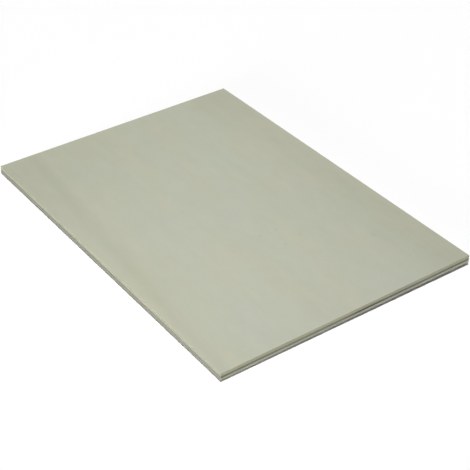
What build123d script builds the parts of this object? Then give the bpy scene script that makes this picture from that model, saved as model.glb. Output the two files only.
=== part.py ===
from build123d import *

import os

# Three-ply poplar plywood sheet, lying flat on its back veneer.
# X runs across the face grain, Y along it and Z up, from the middle of the underside, in millimetres.

os.makedirs("parts", exist_ok=True)

# Trimmed panel
SHEET_WIDTH = 210.0
SHEET_LENGTH = 297.0
CORNER_RADIUS = 0.3

# Veneers, from the underside up
BACK_THICKNESS = 2.3
CORE_THICKNESS = 1.4
FACE_THICKNESS = 2.3

# Arris that sanding leaves round both outer faces
ARRIS_RADIUS = 0.2

# Heights of the two glue lines
lower_glue_line = BACK_THICKNESS
upper_glue_line = lower_glue_line + CORE_THICKNESS

# One trim cut gives all three veneers the same outline
with BuildSketch() as trimmed_outline:
    RectangleRounded(SHEET_WIDTH, SHEET_LENGTH, CORNER_RADIUS)

# Back veneer: grain along the length, eased round the underside
with BuildPart() as back_veneer:
    with BuildSketch(Plane.XY):
        add(trimmed_outline)
    extrude(amount=BACK_THICKNESS)
    underside_edges = back_veneer.faces().sort_by(Axis.Z)[0].edges()
    fillet(underside_edges, ARRIS_RADIUS)
back_veneer.part.label = "back_veneer"
export_step(back_veneer.part, "parts/back_veneer.step")

# Core veneer: grain across the width, square to both glue lines
with BuildPart() as core_veneer:
    with BuildSketch(Plane.XY.offset(lower_glue_line)):
        add(trimmed_outline)
    extrude(amount=CORE_THICKNESS)
core_veneer.part.label = "core_veneer"
export_step(core_veneer.part, "parts/core_veneer.step")

# Face veneer: grain along the length, eased round the show face
with BuildPart() as face_veneer:
    with BuildSketch(Plane.XY.offset(upper_glue_line)):
        add(trimmed_outline)
    extrude(amount=FACE_THICKNESS)
    show_face_edges = face_veneer.faces().sort_by(Axis.Z)[-1].edges()
    fillet(show_face_edges, ARRIS_RADIUS)
face_veneer.part.label = "face_veneer"
export_step(face_veneer.part, "parts/face_veneer.step")
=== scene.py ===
import math

import bpy
import numpy as np
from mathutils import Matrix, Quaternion, Vector, noise


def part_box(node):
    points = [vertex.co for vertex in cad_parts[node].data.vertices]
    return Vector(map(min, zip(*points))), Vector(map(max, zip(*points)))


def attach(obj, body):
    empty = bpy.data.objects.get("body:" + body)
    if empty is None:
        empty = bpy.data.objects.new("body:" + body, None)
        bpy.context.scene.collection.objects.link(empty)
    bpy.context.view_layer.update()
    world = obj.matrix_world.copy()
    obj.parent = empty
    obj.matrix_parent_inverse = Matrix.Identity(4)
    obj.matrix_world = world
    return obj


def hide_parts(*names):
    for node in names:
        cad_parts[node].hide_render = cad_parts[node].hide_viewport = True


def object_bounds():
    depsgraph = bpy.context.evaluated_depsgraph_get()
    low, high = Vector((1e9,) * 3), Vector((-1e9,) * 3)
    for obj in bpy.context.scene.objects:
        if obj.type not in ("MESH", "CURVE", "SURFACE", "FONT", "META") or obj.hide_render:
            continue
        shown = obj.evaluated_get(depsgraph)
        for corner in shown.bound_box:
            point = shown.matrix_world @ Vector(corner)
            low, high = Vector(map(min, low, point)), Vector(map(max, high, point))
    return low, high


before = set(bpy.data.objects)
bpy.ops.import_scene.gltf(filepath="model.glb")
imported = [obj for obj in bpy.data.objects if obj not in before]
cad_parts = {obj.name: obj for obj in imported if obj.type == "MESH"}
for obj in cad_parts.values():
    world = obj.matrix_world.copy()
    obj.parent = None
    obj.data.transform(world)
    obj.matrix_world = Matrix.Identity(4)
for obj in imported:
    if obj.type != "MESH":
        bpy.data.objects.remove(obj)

# Looks of a three-ply poplar sheet, in metres: X across the face grain, Y along it, Z up from the underside

MM = 0.001
cad_low, cad_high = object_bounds()
HALF_WIDTH = cad_high.x
HALF_LENGTH = cad_high.y
LOWER_GLUE_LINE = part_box("core_veneer")[0].z
UPPER_GLUE_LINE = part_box("core_veneer")[1].z

# Outline of the trimmed sheet and its sanded arris, as in the part
CORNER_RADIUS = 0.3 * MM
ARRIS_RADIUS = 0.2 * MM

# Mesh density: spacings of lines, steps round a corner and an arris, rows up an edge, crease in degrees
FACE_SPACING_ACROSS = 0.75 * MM
FACE_SPACING_ALONG = 1.5 * MM
CORE_SPACING = 0.5 * MM
CORNER_STEPS = 3
ARRIS_STEPS = 3
EDGE_ROWS = 7
CREASE_ANGLE = 45.0

# Depth of the sawn and sanded relief, always inwards from the part's surface
END_GRAIN_DEPTH = 0.06 * MM
SIDE_GRAIN_DEPTH = 0.03 * MM
SAW_MARK_DEPTH = 0.02 * MM
CORE_SET_BACK = 0.15 * MM
FACE_GRAIN_DEPTH = 0.006 * MM
FACE_SWELL_DEPTH = 0.012 * MM
CHIP_DEPTH = 0.12 * MM

# Sizes of that relief's bumps along X, Y and Z in millimetres, and the noise from which an arris is chipped
PIT_SIZES = (1.1, 1.1, 0.7)
GRAIN_LINE_SIZES = (9.0, 9.0, 0.5)
SAW_MARK_SIZES = (1.3, 1.3, 30.0)
CHIP_SIZES = (3.5, 3.5, 50.0)
FACE_GRAIN_SIZES = (1.6, 60.0, 1.0)
FACE_SWELL_SIZES = (14.0, 200.0, 1.0)
CHIP_FROM = 0.68

# How far one unit of seed shifts a pattern along X, Y and Z
RELIEF_SHIFT = (1.0, 2.3, 4.1)
GRAIN_SHIFT = (1.0, 1.7, 2.9)

# Unwrapped plan of a veneer: its face, then a strip for each edge, and a corner for the glue faces
MAP_NAME = "OFBake"
MAP_MARGIN = 0.005
MAP_STRIPS = 0.71
MAP_STRIP_STEP = 0.072
MAP_STRIP_WIDTH = 0.062
MAP_GLUE_CORNER = (0.79, 0.80)
MAP_GLUE_SIZE = 0.12

# Camera that lays the sheet's corners on the photograph's
CAMERA_AZIMUTH = -35.03
CAMERA_ELEVATION = 35.24
CAMERA_ROLL = -0.61
CAMERA_DISTANCE = 0.9142
CAMERA_TARGET = Vector((-7.19, -26.08, 0.0)) * MM
CAMERA_LENS = 97.58
CAMERA_SENSOR = 36.0

# Far lamps: the way towards each, its share of the plain level on the ground, its spread in degrees
KEY_WAY = (0.07, 0.12, 1.0)
KEY_LEVEL = 0.84
KEY_SPREAD = 3.0
EDGE_LAMP_WAY = (-1.0, -0.35, 0.05)
EDGE_LAMP_LEVEL = 0.027
EDGE_LAMP_SPREAD = 15.0

# Strip lamp: its place, its size and the share of the plain level that it adds below it
STRIP_LAMP_PLACE = Vector((-78.0, -85.0, 156.0)) * MM
STRIP_LAMP_WIDTH = 30.0 * MM
STRIP_LAMP_LENGTH = 183.0 * MM
STRIP_LAMP_LEVEL = 0.175

# White surroundings: the light from all round, and the ground with its fall per unit of length
WHITE = (1.0, 1.0, 1.0, 1.0)
WORLD_LEVEL = 0.12
FLOOR_HALF = 30.0
FLOOR_FALL = 0.0052

# Albedos in linear light: the darkest and the lightest wood of each surface
FACE_COLOURS = ((0.373, 0.380, 0.304, 1.0), (0.529, 0.543, 0.453, 1.0))
BACK_COLOURS = ((0.390, 0.392, 0.310, 1.0), (0.535, 0.548, 0.455, 1.0))
FACE_SIDE_COLOURS = ((0.425, 0.430, 0.342, 1.0), (0.566, 0.580, 0.482, 1.0))
BACK_SIDE_COLOURS = ((0.295, 0.296, 0.248, 1.0), (0.445, 0.450, 0.388, 1.0))
FACE_END_COLOURS = ((0.323, 0.325, 0.232, 1.0), (0.520, 0.526, 0.395, 1.0))
BACK_END_COLOURS = ((0.367, 0.368, 0.303, 1.0), (0.570, 0.573, 0.480, 1.0))
CORE_SIDE_COLOURS = ((0.130, 0.130, 0.088, 1.0), (0.358, 0.360, 0.267, 1.0))
CORE_END_COLOURS = ((0.215, 0.216, 0.168, 1.0), (0.445, 0.450, 0.378, 1.0))

# Changes of hue in long patches: warmer ones, also at the margins and to the rear, and greener ones
WARM_TINT = (1.024, 1.0, 0.950, 1.0)
WARM_SIZES = (18.0, 60.0, 4.0)
WARM_MARGIN = 0.45
WARM_DRIFT = 2.0
MARGIN_FROM = 0.55 * HALF_WIDTH
MARGIN_TO = 0.95 * HALF_WIDTH
GREEN_TINT = (0.970, 1.0, 1.004, 1.0)
GREEN_SIZES = (22.0, 70.0, 4.0)
GREEN_DRIFT = 1.6

# Middle tones of the three kinds of grain, from 0, the darkest wood, to 1, the lightest
FACE_TONE = 0.50
SIDE_TONE = 0.50
END_TONE = 0.54

# Size in millimetres that keeps a pattern even along an axis
WIDE = 1000.0

# Ring lines of a peeled face: their spacing, how far they sway in spacings, and where late wood lies
RING_SPACING = 11.0 * MM
RING_SWAY = 4.0
RING_WAVER = 0.5
LATE_WOOD_FROM = 0.35
LATE_WOOD_TO = 0.90

# Two mineral streaks of the show face: place and lean, how dark they are, how they wander and break
LEFT_STREAK = {"centre": -90.3 * MM, "lean": 0.078, "half_width": 9.0 * MM, "seed": 31.0}
LEFT_STREAK_DARK = 0.14
RIGHT_STREAK = {"centre": 94.0 * MM, "lean": -0.01, "half_width": 42.0 * MM, "seed": 37.0}
RIGHT_STREAK_DARK = 0.28
RIGHT_STREAK_DRIFT = 0.15 / HALF_LENGTH
STREAK_WANDER = 6.0 * MM
STREAK_BREAKS = 0.15

# Pin specks of the show face: places in millimetres, half width, width over length, and darkness
SPECKS = ((1.5, -44.2), (15.2, -45.0), (10.2, -63.3), (26.0, -59.0), (67.0, -90.6))
SPECK_HALF_WIDTH = 1.3 * MM
SPECK_SLIMNESS = 0.6
SPECK_DARK = 0.32

# Painted light and shade on the show face: its tilt per metre across and along, which evens out the strip
# lamp's pool, painted shade towards its rear and rear left corner, and painted light at its front left
# corner
FACE_LIGHT_TILT_ACROSS = 0.24
FACE_LIGHT_TILT_ALONG = 0.51
REAR_PAINTED_SHADE = 0.14
REAR_LEFT_PAINTED_SHADE = 0.10
FRONT_LEFT_PAINTED_LIGHT = 0.09
PAINTED_LIGHT_FROM = 40.0 * MM

# Rim of the show face: a painted highlight along the front of the left edge, and painted shade along the
# other edges but the front
RIM_WIDTH = 1.2 * MM
RIM_HIGHLIGHT = 0.20
RIM_SHADE = 0.15

# Slant of the lathe checks on end grain, and the painted shade by which its tone falls per metre to the
# right
CHECK_SLANT = 0.7
END_PAINTED_SHADE = 0.6

# The core's front edge is darker from the middle on to the right, and darkest in one short stretch
CORE_TURN = 20.0 * MM
CORE_DARK = 0.30
CORE_PATCH_CENTRE = 10.0 * MM
CORE_PATCH_HALF = 11.0 * MM
CORE_PATCH_DARK = 0.26

# Parts of the unit normal between which a face turns to an edge, and an arris starts and ends
EDGE_TURN = (0.5, 0.8)
ARRIS_START = (0.15, 0.5)
ARRIS_END = (0.85, 0.99)

# Tone that sanding adds on an arris
ARRIS_PALE = 0.12

# Glue lines: half their width where they are full and where they end, and how strong they are
GLUE_COLOUR = (0.11, 0.10, 0.06, 1.0)
GLUE_FULL = 0.03 * MM
GLUE_REACH = 0.12 * MM
GLUE_SHARE = 0.55

# Painted shade on the lowest arris, where the contact shadow falls at the sheet's foot: its height, and its
# share along the short edges and along the long ones
FOOT_SHADE_COLOUR = (0.07, 0.068, 0.055, 1.0)
FOOT_SHADE_HEIGHT = 0.42 * MM
FOOT_SHADE_FULL_HEIGHT = 0.4 * FOOT_SHADE_HEIGHT
FOOT_SHADE_TURN = 60.0 * MM
FOOT_SHADE_ON_LEFT = 0.75
FOOT_SHADE_ON_RIGHT = 0.95
FOOT_SHADE_ON_SIDE = 0.50
FOOT_SHADE_SIDE_DRIFT = 3.0

# Finish of the wood: its bump, and its roughness, which rises on the edges and falls on raised grain
BUMP_STRENGTH = 0.35
BUMP_DISTANCE = 0.06 * MM
ROUGHNESS = 0.60
EDGE_ROUGHNESS = 0.18
GRAIN_GLOSS = 0.25
SPECULAR_LEVEL = 0.15

# Places of the colour sockets on a mix node
MIX_SHARE = 0
MIX_FIRST = 6
MIX_SECOND = 7
MIX_RESULT = 2


def stations(half, spacing):
    """Lines from one side of the sheet to the other: each line's place and its share of the corner."""
    straight = half - CORNER_RADIUS
    places = np.linspace(-straight, straight, round(2 * straight / spacing) + 1)
    shares = np.arange(1, CORNER_STEPS + 1) / CORNER_STEPS
    ends = np.full(CORNER_STEPS, straight)
    place = np.concatenate([-ends, places, ends])
    share = np.concatenate([-shares[::-1], np.zeros(len(places)), shares])
    return np.stack([place, share])


def rim_lines(columns, rows):
    """Column, row and side of each crossing round the rim: front, right, rear, left."""
    last_column = columns.shape[1] - 1
    last_row = rows.shape[1] - 1
    across = np.arange(last_column)
    along = np.arange(last_row)
    column = [across, np.full(last_row, last_column), last_column - across, np.zeros(last_row, int)]
    row = [np.zeros(last_column, int), along, np.full(last_column, last_row), last_row - along]
    side = [np.full(len(one), number) for number, one in enumerate(column)]
    return np.concatenate(column), np.concatenate(row), np.concatenate(side)


def plan(column, row, inset):
    """X and Y of line crossings on the outline, drawn in by inset, with round corners."""
    place_x, share_x = column
    place_y, share_y = row
    radius = CORNER_RADIUS - inset
    x = place_x + radius * share_x * np.sqrt(1 - share_y**2 / 2)
    y = place_y + radius * share_y * np.sqrt(1 - share_x**2 / 2)
    return x, y


def ripple(x, y, z, sizes, seed):
    """Smooth noise from 0 to 1 at places in metres, whose bumps have these sizes in millimetres."""
    shift = Vector([share * seed for share in RELIEF_SHIFT])
    places = np.stack(np.broadcast_arrays(x, y, z), 1) / (np.array(sizes) * MM)
    made = [noise.noise(Vector(place) + shift) for place in places]
    return np.clip(0.5 + 0.5 * np.array(made), 0.0, 1.0)


def edge_relief(x, y, z, grain_along_y, seed):
    """Depth of the sawn edges: pitted on end grain, lined on long grain, with saw marks up both."""
    on_short_edge = np.abs(y) > HALF_LENGTH - CORNER_RADIUS
    on_end = on_short_edge == grain_along_y
    pits = ripple(x, y, z, PIT_SIZES, seed)
    lines = ripple(x, y, z, GRAIN_LINE_SIZES, seed + 1)
    marks = ripple(x, y, z, SAW_MARK_SIZES, seed + 2)
    grain = np.where(on_end, END_GRAIN_DEPTH * pits**2, SIDE_GRAIN_DEPTH * lines)
    return grain + SAW_MARK_DEPTH * marks


def chips(x, y, z, seed):
    """Depth of the small chips along an arris."""
    worn = ripple(x, y, z, CHIP_SIZES, seed)
    return CHIP_DEPTH * np.clip((worn - CHIP_FROM) / (1 - CHIP_FROM), 0.0, 1.0)


def edge_profile(low, high, outer):
    """Rows of an edge from the glue face to the outer one: height, inset and share of the arris."""
    wall = high - low - (ARRIS_RADIUS if outer else 0.0)
    height = np.linspace(0.0, wall, EDGE_ROWS)
    inset = np.zeros(EDGE_ROWS)
    worn = np.zeros(EDGE_ROWS)
    if outer:
        turn = np.arange(1, ARRIS_STEPS + 1) / ARRIS_STEPS * math.pi / 2
        height = np.concatenate([height, wall + ARRIS_RADIUS * np.sin(turn)])
        inset = np.concatenate([inset, ARRIS_RADIUS * (1 - np.cos(turn))])
        worn = np.concatenate([worn, np.abs(np.sin(2 * turn))])
    else:
        inset = CORE_SET_BACK * np.sin(np.pi * height / wall)
    height = high - height if outer < 0 else low + height
    return height, inset, worn


class Veneer:
    """One veneer as a closed mesh: four sawn edges, with a grained face or a second glue face.

    The outer face looks up where outer is 1 and down where it is -1, and there is none where it is 0.
    """

    def __init__(self, node, outer, grain_along_y, seed):
        self.low, self.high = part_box(node)
        self.outer = outer
        self.grain_along_y = grain_along_y
        self.seed = seed
        self.columns = stations(HALF_WIDTH, FACE_SPACING_ACROSS if outer else CORE_SPACING)
        self.rows = stations(HALF_LENGTH, FACE_SPACING_ALONG if outer else CORE_SPACING)
        self.rim_column, self.rim_row, self.rim_side = rim_lines(self.columns, self.rows)
        self.rim = len(self.rim_side)
        self.points = []
        self.faces = []
        self.map = []

    def add_edges(self):
        """Rings of points from the glue face to the outer face, joined by quads."""
        height, inset, worn = edge_profile(self.low.z, self.high.z, self.outer)
        column = self.columns[:, self.rim_column]
        row = self.rows[:, self.rim_row]
        for z, drawn_in, share in zip(height, inset, worn):
            x, y = plan(column, row, drawn_in)
            depth = drawn_in + edge_relief(x, y, z, self.grain_along_y, self.seed)
            if share > 0:
                depth += share * chips(x, y, z, self.seed + 3)
            x, y = plan(column, row, depth)
            self.points.append(np.stack([x, y, np.full(self.rim, z)], 1))
        self.rings = len(height)
        first = np.arange(self.rim)
        second = np.roll(first, -1)
        quad = np.stack([first, second, second + self.rim, first + self.rim], 1)
        steps = self.rings - 1
        for ring in range(steps):
            self.faces += (quad + ring * self.rim).tolist()
            self.map.append(self.strip_map(ring / steps, (ring + 1) / steps))

    def strip_map(self, low, high):
        """Map places of one ring's quads: each edge has a strip of its own, whose length is the sheet's."""
        column = self.columns[:, self.rim_column]
        row = self.rows[:, self.rim_row]
        x, y = plan(column, row, 0.0)
        step = np.hypot(np.roll(x, -1) - x, np.roll(y, -1) - y)
        start = np.zeros(self.rim)
        for side in np.unique(self.rim_side):
            here = self.rim_side == side
            start[here] = np.cumsum(step[here]) - step[here]
        long = 1 - 2 * MAP_MARGIN
        v0 = MAP_MARGIN + start / (2 * HALF_LENGTH) * long
        v1 = MAP_MARGIN + (start + step) / (2 * HALF_LENGTH) * long
        left = MAP_STRIPS + self.rim_side * MAP_STRIP_STEP
        u0 = left + low * MAP_STRIP_WIDTH
        u1 = left + high * MAP_STRIP_WIDTH
        corners = [np.stack(corner, 1) for corner in ((u0, v0), (u0, v1), (u1, v1), (u1, v0))]
        return np.stack(corners, 1).reshape(-1, 2)

    def add_outer_face(self):
        """The peeled face, with the relief of its grain."""
        grid = np.full((self.rows.shape[1], self.columns.shape[1]), -1)
        grid[self.rim_row, self.rim_column] = (self.rings - 1) * self.rim + np.arange(self.rim)
        row, column = np.nonzero(grid < 0)
        grid[row, column] = self.rings * self.rim + np.arange(len(row))
        x, y = plan(self.columns[:, column], self.rows[:, row], ARRIS_RADIUS)
        fine = ripple(x, y, 0.0, FACE_GRAIN_SIZES, self.seed + 4)
        swell = ripple(x, y, 0.0, FACE_SWELL_SIZES, self.seed + 5)
        outside = self.high.z if self.outer > 0 else self.low.z
        z = outside - self.outer * (FACE_GRAIN_DEPTH * fine + FACE_SWELL_DEPTH * swell)
        self.points.append(np.stack([x, y, z], 1))
        corners = np.stack([grid[:-1, :-1], grid[:-1, 1:], grid[1:, 1:], grid[1:, :-1]], -1).reshape(-1, 4)
        self.faces += corners.tolist()
        place = np.concatenate(self.points)[corners.ravel(), :2] + (HALF_WIDTH, HALF_LENGTH)
        self.map.append(MAP_MARGIN + place / (2 * HALF_LENGTH) * (1 - 2 * MAP_MARGIN))

    def add_glue_face(self, ring, turned):
        """A hidden side, closed by a fan of triangles about its middle."""
        first = ring * self.rim + np.arange(self.rim)
        middle = np.full(self.rim, sum(len(points) for points in self.points))
        self.points.append(np.array([[0.0, 0.0, self.points[ring][0, 2]]]))
        corners = np.stack([first, np.roll(first, -1), middle], 1)
        corners = corners[:, ::-1] if turned else corners
        self.faces += corners.tolist()
        place = np.concatenate(self.points)[corners.ravel(), :2] + (HALF_WIDTH, HALF_LENGTH)
        self.map.append(np.array(MAP_GLUE_CORNER) + place / (2 * HALF_LENGTH) * MAP_GLUE_SIZE)

    def build(self, name):
        """The whole veneer as an object of the scene, with its map and its creases."""
        self.add_edges()
        if self.outer:
            self.add_outer_face()
        else:
            self.add_glue_face(self.rings - 1, False)
        self.add_glue_face(0, True)
        mesh = bpy.data.meshes.new(name)
        mesh.from_pydata(np.concatenate(self.points).tolist(), [], self.faces)
        layer = mesh.uv_layers.new(name=MAP_NAME)
        layer.data.foreach_set("uv", np.concatenate(self.map).ravel())
        if self.outer < 0:
            mesh.flip_normals()
        mesh.polygons.foreach_set("use_smooth", [True] * len(mesh.polygons))
        mesh.set_sharp_from_angle(angle=math.radians(CREASE_ANGLE))
        piece = bpy.data.objects.new(name, mesh)
        bpy.context.scene.collection.objects.link(piece)
        return piece


class Nodes:
    """Short calls that add nodes to a tree and return their output sockets."""

    def __init__(self, tree):
        self.tree = tree

    def add(self, kind, **settings):
        node = self.tree.nodes.new(kind)
        for key, value in settings.items():
            setattr(node, key, value)
        return node

    def feed(self, socket, source):
        """Links a source to a socket, or sets a plain value there."""
        if isinstance(source, bpy.types.NodeSocket):
            self.tree.links.new(source, socket)
        else:
            socket.default_value = source

    def math(self, operation, *sources):
        node = self.add("ShaderNodeMath", operation=operation)
        for socket, source in zip(node.inputs, sources):
            self.feed(socket, source)
        return node.outputs[0]

    def weigh(self, middle, *parts):
        """A middle value plus each pattern times its weight."""
        made = middle
        for pattern, weight in parts:
            made = self.math("MULTIPLY_ADD", pattern, weight, made)
        return made

    def product(self, first, *others):
        made = first
        for other in others:
            made = self.math("MULTIPLY", made, other)
        return made

    def highest(self, first, *others):
        made = first
        for other in others:
            made = self.math("MAXIMUM", made, other)
        return made

    def inverse(self, share):
        return self.math("SUBTRACT", 1.0, share)

    def size(self, value):
        return self.math("ABSOLUTE", value)

    def gap(self, first, second):
        return self.size(self.math("SUBTRACT", first, second))

    def near(self, value, centre, reach):
        """1 where a value is at the centre, falling smoothly to 0 at this reach from it."""
        return self.inverse(self.smooth(self.gap(value, centre), 0.0, reach))

    def vector(self, x, y, z):
        node = self.add("ShaderNodeCombineXYZ")
        for socket, source in zip(node.inputs, (x, y, z)):
            self.feed(socket, source)
        return node.outputs[0]

    def split(self, vector):
        node = self.add("ShaderNodeSeparateXYZ")
        self.feed(node.inputs[0], vector)
        return node.outputs

    def noise(self, place, sizes, seed, detail=2.0):
        """Noise about 0, mostly from -0.3 to 0.3, whose grains have these sizes in millimetres."""
        stretch = self.add("ShaderNodeMapping")
        stretch.inputs["Scale"].default_value = [1 / (size * MM) for size in sizes]
        stretch.inputs["Location"].default_value = [share * seed for share in GRAIN_SHIFT]
        self.feed(stretch.inputs["Vector"], place)
        node = self.add("ShaderNodeTexNoise")
        node.inputs["Scale"].default_value = 1.0
        node.inputs["Detail"].default_value = detail
        self.feed(node.inputs["Vector"], stretch.outputs[0])
        return self.math("SUBTRACT", node.outputs[0], 0.5)

    def smooth(self, value, start, end):
        """A smooth step from 0 at the start to 1 at the end, which may be the lower of the two."""
        node = self.add("ShaderNodeMapRange", interpolation_type="SMOOTHSTEP")
        self.feed(node.inputs["Value"], value)
        node.inputs["From Min"].default_value = start
        node.inputs["From Max"].default_value = end
        return node.outputs[0]

    def mix(self, way, share, first, second):
        node = self.add("ShaderNodeMix", data_type="RGBA", blend_type=way)
        self.feed(node.inputs[MIX_SHARE], share)
        self.feed(node.inputs[MIX_FIRST], first)
        self.feed(node.inputs[MIX_SECOND], second)
        return node.outputs[MIX_RESULT]

    def tint(self, share, colour, tint):
        return self.mix("MULTIPLY", share, colour, tint)

    def blend(self, share, first, second):
        return self.mix("MIX", share, first, second)


class Surface:
    """Where a point of a veneer lies, and how far it shows long grain, end grain or an arris."""

    def __init__(self, n, grain_along_y):
        self.x, self.y, self.z = n.split(n.add("ShaderNodeTexCoord").outputs["Object"])
        normal_x, normal_y, normal_z = n.split(n.add("ShaderNodeNewGeometry").outputs["Normal"])
        if grain_along_y:
            self.place = n.vector(self.x, self.y, self.z)
            across, along = normal_x, normal_y
        else:
            self.place = n.vector(self.y, self.x, self.z)
            across, along = normal_y, normal_x
        self.on_side = n.smooth(n.size(across), *EDGE_TURN)
        self.on_end = n.smooth(n.size(along), *EDGE_TURN)
        self.on_edge = n.highest(self.on_side, self.on_end)
        upright = n.size(normal_z)
        turning = n.smooth(upright, *ARRIS_START)
        self.on_arris = n.product(turning, n.inverse(n.smooth(upright, *ARRIS_END)))


def growth_rings(n, place):
    """Thin lines of late wood along the grain, soft on one side, that fade in and out."""
    x, _, _ = n.split(place)
    sway = n.noise(place, (70.0, 260.0, WIDE), seed=3.1, detail=1.0)
    waver = n.noise(place, (15.0, 80.0, WIDE), seed=5.9)
    turns = n.weigh(n.math("DIVIDE", x, RING_SPACING), (sway, RING_SWAY), (waver, RING_WAVER))
    turn = n.math("FRACT", turns)
    rise = n.smooth(turn, LATE_WOOD_FROM, LATE_WOOD_TO)
    late = n.product(rise, n.inverse(n.smooth(turn, LATE_WOOD_TO, 1.0)))
    shown = n.smooth(n.noise(place, (30.0, 170.0, WIDE), seed=8.3), start=-0.08, end=0.16)
    return n.product(late, shown)


def streak(n, place, centre, lean, half_width, seed):
    """One darker streak along the grain, from its middle, its lean per unit of length and its half width."""
    x, y, _ = n.split(place)
    wander = n.noise(place, (WIDE, 60.0, WIDE), seed)
    upright = n.weigh(x, (y, -lean), (wander, -STREAK_WANDER))
    broken = n.smooth(n.noise(place, (2.5, 55.0, WIDE), seed + 2), start=-0.25, end=0.15)
    strength = n.weigh(1 - STREAK_BREAKS, (broken, STREAK_BREAKS))
    return n.product(n.near(upright, centre, half_width), strength)


def specks(n, place):
    """Pin specks, each a small dark dot drawn out along the grain."""
    x, y, _ = n.split(place)
    flat = n.vector(x, n.product(y, SPECK_SLIMNESS), 0.0)
    dots = []
    for speck_x, speck_y in SPECKS:
        gap = n.add("ShaderNodeVectorMath", operation="DISTANCE")
        n.feed(gap.inputs[0], flat)
        gap.inputs[1].default_value = (speck_x * MM, speck_y * MM * SPECK_SLIMNESS, 0.0)
        dots.append(n.inverse(n.smooth(gap.outputs["Value"], 0.0, SPECK_HALF_WIDTH)))
    return n.highest(*dots)


def show_face_painted_light(n, place, tone):
    """The tone of the show face with painted light and shade: a tilt against the strip lamp's pool, shade to
    the rear and rear left, light at the front left.
    """
    x, y, _ = n.split(place)
    left = n.smooth(x, 0.0, -HALF_WIDTH)
    rear = n.smooth(y, PAINTED_LIGHT_FROM, HALF_LENGTH)
    rear_left = n.product(n.smooth(y, 0.0, HALF_LENGTH), left)
    front_left = n.product(n.smooth(y, -PAINTED_LIGHT_FROM, -HALF_LENGTH), left)
    tone = n.weigh(tone, (x, FACE_LIGHT_TILT_ACROSS), (y, FACE_LIGHT_TILT_ALONG), (rear, -REAR_PAINTED_SHADE))
    return n.weigh(tone, (rear_left, -REAR_LEFT_PAINTED_SHADE), (front_left, FRONT_LEFT_PAINTED_LIGHT))


def show_face_marks(n, place, tone):
    """The tone of the show face with its streaks and specks."""
    _, y, _ = n.split(place)
    left = streak(n, place, **LEFT_STREAK)
    right = n.product(streak(n, place, **RIGHT_STREAK), n.weigh(1.0, (y, -RIGHT_STREAK_DRIFT)))
    tone = n.weigh(tone, (left, -LEFT_STREAK_DARK), (right, -RIGHT_STREAK_DARK))
    return n.weigh(tone, (specks(n, place), -SPECK_DARK))


def show_face_rim(n, place, tone):
    """The tone of the show face with its rims: a painted highlight along the front of the left edge, painted
    shade along the others.
    """
    x, y, _ = n.split(place)
    left = n.smooth(x, RIM_WIDTH - HALF_WIDTH, -HALF_WIDTH)
    right = n.smooth(x, HALF_WIDTH - RIM_WIDTH, HALF_WIDTH)
    rear = n.smooth(y, HALF_LENGTH - RIM_WIDTH, HALF_LENGTH)
    highlight = n.product(left, n.smooth(y, HALF_LENGTH, 0.0))
    shaded = n.highest(right, rear, n.product(left, n.smooth(y, 0.0, HALF_LENGTH)))
    return n.weigh(tone, (highlight, RIM_HIGHLIGHT), (shaded, -RIM_SHADE))


def face_tone(n, place, marked):
    """Tone and relief of a peeled face: slow bands, rings, fibres and pores along the grain."""
    bands = n.noise(place, (42.0, 420.0, WIDE), seed=2.4, detail=1.0)
    lines = n.noise(place, (6.0, 240.0, WIDE), seed=26.3)
    fibres = n.noise(place, (0.9, 45.0, WIDE), seed=7.7)
    hair = n.noise(place, (0.3, 9.0, WIDE), seed=12.1)
    mottle = n.noise(place, (9.0, 22.0, WIDE), seed=14.5)
    pores = n.smooth(n.noise(place, (0.2, 2.6, WIDE), seed=9.2, detail=1.0), start=0.14, end=0.25)
    tone = n.weigh(
        FACE_TONE,
        (bands, 0.22),
        (lines, 0.05),
        (fibres, 0.03),
        (hair, 0.20),
        (mottle, 0.22),
        (pores, -0.14),
        (growth_rings(n, place), -0.03),
    )
    if marked:
        # painted light and shade over the show face
        tone = show_face_painted_light(n, place, tone)
        tone = show_face_marks(n, place, tone)
        # painted highlight and shade along the rims of the show face
        tone = show_face_rim(n, place, tone)
    return tone, n.weigh(0.0, (fibres, 0.1), (hair, 0.5), (pores, -0.6))


def end_tone(n, place):
    """Tone and relief of sawn end grain: growth layers, pores, slanting lathe checks and saw marks, with
    painted shade that darkens it to the right.
    """
    x, _, z = n.split(place)
    layers = n.noise(place, (18.0, WIDE, 0.45), seed=11.4)
    pores = n.noise(place, (0.3, WIDE, 0.28), seed=13.8)
    slanted = n.vector(n.weigh(x, (z, CHECK_SLANT)), 0.0, z)
    checks = n.smooth(n.noise(slanted, (0.45, WIDE, 3.0), seed=16.2, detail=1.0), start=0.17, end=0.27)
    marks = n.noise(place, (0.9, WIDE, 25.0), seed=18.7)
    drift = n.noise(place, (40.0, WIDE, 6.0), seed=15.1, detail=1.0)
    tone = n.weigh(
        END_TONE,
        (layers, 0.50),
        (pores, 0.50),
        (checks, -0.35),
        (marks, 0.35),
        (drift, 0.50),
        # painted shade, darker to the right
        (x, -END_PAINTED_SHADE),
    )
    return tone, n.weigh(0.0, (pores, 0.8), (checks, -0.6), (marks, 0.5))


def side_tone(n, place):
    """Tone and relief of a long-grain edge: fine lines along the grain, crossed by faint saw marks."""
    lines = n.noise(place, (WIDE, 40.0, 0.28), seed=17.6)
    hair = n.noise(place, (WIDE, 6.0, 0.12), seed=21.2)
    marks = n.noise(place, (WIDE, 0.9, 25.0), seed=18.7)
    drift = n.noise(place, (WIDE, 45.0, 6.0), seed=19.9, detail=1.0)
    tone = n.weigh(SIDE_TONE, (lines, 0.50), (hair, 0.35), (marks, 0.25), (drift, 0.60))
    return tone, n.weigh(0.0, (lines, 0.7), (hair, 0.5), (marks, 0.4))


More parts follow.
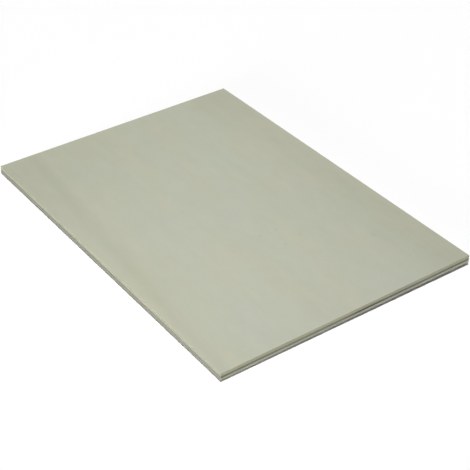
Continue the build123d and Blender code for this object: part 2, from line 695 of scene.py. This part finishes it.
def core_tone(n, place):
    """Tone and relief of the core's long-grain edge, darker along its front edge from the middle on to the
    right.
    """
    tone, relief = side_tone(n, place)
    y, x, _ = n.split(place)
    front = n.smooth(y, 0.0, -HALF_LENGTH)
    right = n.smooth(x, -CORE_TURN, CORE_TURN)
    patch = n.near(x, CORE_PATCH_CENTRE, CORE_PATCH_HALF)
    dark = n.weigh(n.product(right, CORE_DARK), (patch, CORE_PATCH_DARK))
    return n.math("SUBTRACT", tone, n.product(front, dark)), relief


def wood_colour(n, at, tones, pairs):
    """Colour of the face, the long grain or the end grain, a little paler on an arris."""
    colours = []
    for tone, pair in zip(tones, pairs):
        colours.append(n.blend(n.weigh(tone, (at.on_arris, ARRIS_PALE)), *pair))
    face, side, end = colours
    return n.blend(at.on_end, n.blend(at.on_side, face, side), end)


def add_hues(n, at, colour):
    """The wood with its warmer and its greener patches."""
    margin = n.smooth(n.size(at.x), MARGIN_FROM, MARGIN_TO)
    warm = n.smooth(n.noise(at.place, WARM_SIZES, seed=41.5), start=-0.4, end=0.4)
    warm = n.weigh(warm, (margin, WARM_MARGIN), (at.y, WARM_DRIFT))
    green = n.smooth(n.noise(at.place, GREEN_SIZES, seed=47.3), start=-0.25, end=0.25)
    green = n.weigh(green, (at.y, GREEN_DRIFT))
    return n.tint(green, n.tint(warm, colour, WARM_TINT), GREEN_TINT)


def add_glue_lines(n, at, colour):
    """The wood with the two thin dark glue lines that show on its edges."""
    lower = n.gap(at.z, LOWER_GLUE_LINE)
    upper = n.gap(at.z, UPPER_GLUE_LINE)
    line = n.inverse(n.smooth(n.math("MINIMUM", lower, upper), GLUE_FULL, GLUE_REACH))
    return n.blend(n.product(line, at.on_edge, GLUE_SHARE), colour, GLUE_COLOUR)


def add_painted_foot_shade(n, at, colour):
    """The wood with painted shade on its lowest arris, where the contact shadow falls at the sheet's foot.
    """
    low_down = n.inverse(n.smooth(at.z, FOOT_SHADE_FULL_HEIGHT, FOOT_SHADE_HEIGHT))
    to_right = n.smooth(at.x, -FOOT_SHADE_TURN, FOOT_SHADE_TURN)
    on_short_edge = n.weigh(FOOT_SHADE_ON_LEFT, (to_right, FOOT_SHADE_ON_RIGHT - FOOT_SHADE_ON_LEFT))
    on_long_edge = n.weigh(FOOT_SHADE_ON_SIDE, (at.y, FOOT_SHADE_SIDE_DRIFT))
    share = n.weigh(n.product(at.on_end, on_short_edge), (at.on_side, on_long_edge))
    return n.blend(n.product(share, low_down), colour, FOOT_SHADE_COLOUR)


def add_finish(n, at, shader, reliefs):
    """The bump and the gloss of the grain."""
    face, side, end = reliefs
    height = n.weigh(n.product(face, n.inverse(at.on_edge)), (side, at.on_side), (end, at.on_end))
    bump = n.add("ShaderNodeBump")
    bump.inputs["Strength"].default_value = BUMP_STRENGTH
    bump.inputs["Distance"].default_value = BUMP_DISTANCE
    n.feed(bump.inputs["Height"], height)
    n.feed(shader.inputs["Normal"], bump.outputs[0])
    roughness = n.weigh(ROUGHNESS, (at.on_edge, EDGE_ROUGHNESS), (face, -GRAIN_GLOSS))
    n.feed(shader.inputs["Roughness"], roughness)
    shader.inputs["Specular IOR Level"].default_value = SPECULAR_LEVEL


def poplar(name, grain_along_y, marked, edge_tone, pairs):
    """Wood that shows its face, long grain or end grain by the way a surface turns from the grain."""
    material = bpy.data.materials.new(name)
    material.use_nodes = True
    n = Nodes(material.node_tree)
    shader = material.node_tree.nodes["Principled BSDF"]
    at = Surface(n, grain_along_y)
    grains = face_tone(n, at.place, marked), edge_tone(n, at.place), end_tone(n, at.place)
    tones, reliefs = zip(*grains)
    colour = wood_colour(n, at, tones, pairs)
    colour = add_hues(n, at, colour)
    colour = add_glue_lines(n, at, colour)
    # painted shade along the foot of the edges
    colour = add_painted_foot_shade(n, at, colour)
    n.feed(shader.inputs["Base Color"], colour)
    add_finish(n, at, shader, reliefs)
    return material


def point_at(thing, way):
    """Turns a lamp or a camera so that its back looks this way."""
    thing.rotation_mode = "QUATERNION"
    thing.rotation_quaternion = way.to_track_quat("Z", "Y")


def sun(name, way, level, spread):
    """A far lamp that gives level ground this share of the plain level."""
    way = Vector(way).normalized()
    data = bpy.data.lights.new(name, "SUN")
    data.energy = level * math.pi / way.z
    data.angle = math.radians(spread)
    lamp = bpy.data.objects.new(name, data)
    point_at(lamp, way)
    bpy.context.scene.collection.objects.link(lamp)


def strip_lamp():
    """A strip over the front left of the sheet, which makes that part of the face the brightest."""
    data = bpy.data.lights.new("strip_lamp", "AREA")
    data.shape = "RECTANGLE"
    data.size = STRIP_LAMP_WIDTH
    data.size_y = STRIP_LAMP_LENGTH
    height = STRIP_LAMP_PLACE.z - cad_high.z
    data.energy = STRIP_LAMP_LEVEL * (math.pi * height) ** 2
    lamp = bpy.data.objects.new("strip_lamp", data)
    lamp.location = STRIP_LAMP_PLACE
    bpy.context.scene.collection.objects.link(lamp)


def white_world():
    """Soft light from all round, which the camera and reflections see as plain white."""
    world = bpy.data.worlds.new("studio")
    bpy.context.scene.world = world
    world.use_nodes = True
    n = Nodes(world.node_tree)
    ray = n.add("ShaderNodeLightPath").outputs
    seen = n.highest(ray["Is Camera Ray"], ray["Is Glossy Ray"], ray["Is Transmission Ray"])
    background = world.node_tree.nodes["Background"]
    background.inputs["Color"].default_value = WHITE
    n.feed(background.inputs["Strength"], n.weigh(WORLD_LEVEL, (seen, 1.0 - WORLD_LEVEL)))


def white_floor():
    """A plain white ground that keeps the sheet's shadow and falls away a little from its left edge."""
    mesh = bpy.data.meshes.new("floor")
    corners = [(-1, -1, 0), (1, -1, 0), (1, 1, 0), (-1, 1, 0)]
    mesh.from_pydata([Vector(corner) * FLOOR_HALF for corner in corners], [], [(0, 1, 2, 3)])
    floor = bpy.data.objects.new("floor", mesh)
    material = bpy.data.materials.new("floor_white")
    material.use_nodes = True
    shader = material.node_tree.nodes["Principled BSDF"]
    shader.inputs["Base Color"].default_value = WHITE
    shader.inputs["Roughness"].default_value = 1.0
    shader.inputs["Specular IOR Level"].default_value = 0.0
    mesh.materials.append(material)
    bpy.context.scene.collection.objects.link(floor)
    floor.location.x = -HALF_WIDTH
    floor.rotation_euler.y = math.atan(FLOOR_FALL)


def camera():
    """The photograph's viewpoint."""
    data = bpy.data.cameras.new("camera")
    data.lens = CAMERA_LENS
    data.sensor_width = CAMERA_SENSOR
    eye = bpy.data.objects.new("camera", data)
    turn = math.radians(CAMERA_AZIMUTH)
    lift = math.radians(CAMERA_ELEVATION)
    back = Vector((math.sin(turn) * math.cos(lift), -math.cos(turn) * math.cos(lift), math.sin(lift)))
    eye.location = CAMERA_TARGET + CAMERA_DISTANCE * back
    point_at(eye, back)
    eye.rotation_quaternion = eye.rotation_quaternion @ Quaternion((0, 0, 1), math.radians(CAMERA_ROLL))
    bpy.context.scene.collection.objects.link(eye)
    bpy.context.scene.camera = eye


def lay_up(name, node, outer, grain_along_y, seed, wood):
    """One veneer of the sheet, in the place of its node."""
    piece = Veneer(node, outer, grain_along_y, seed).build(name)
    piece.data.materials.append(wood)
    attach(piece, "root")
    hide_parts(node)


face_pairs = (FACE_COLOURS, FACE_SIDE_COLOURS, FACE_END_COLOURS)
core_pairs = (CORE_SIDE_COLOURS, CORE_SIDE_COLOURS, CORE_END_COLOURS)
back_pairs = (BACK_COLOURS, BACK_SIDE_COLOURS, BACK_END_COLOURS)
face_wood = poplar("poplar_face", True, True, side_tone, face_pairs)
core_wood = poplar("poplar_core", False, False, core_tone, core_pairs)
back_wood = poplar("poplar_back", True, False, side_tone, back_pairs)
lay_up("back_ply", "back_veneer", -1, True, 30.0, back_wood)
lay_up("core_ply", "core_veneer", 0, False, 20.0, core_wood)
lay_up("face_ply", "face_veneer", 1, True, 10.0, face_wood)

white_world()
white_floor()
sun("key", KEY_WAY, KEY_LEVEL, KEY_SPREAD)
sun("edge_lamp", EDGE_LAMP_WAY, EDGE_LAMP_LEVEL, EDGE_LAMP_SPREAD)
strip_lamp()
camera()
bpy.context.scene.view_settings.view_transform = "Standard"
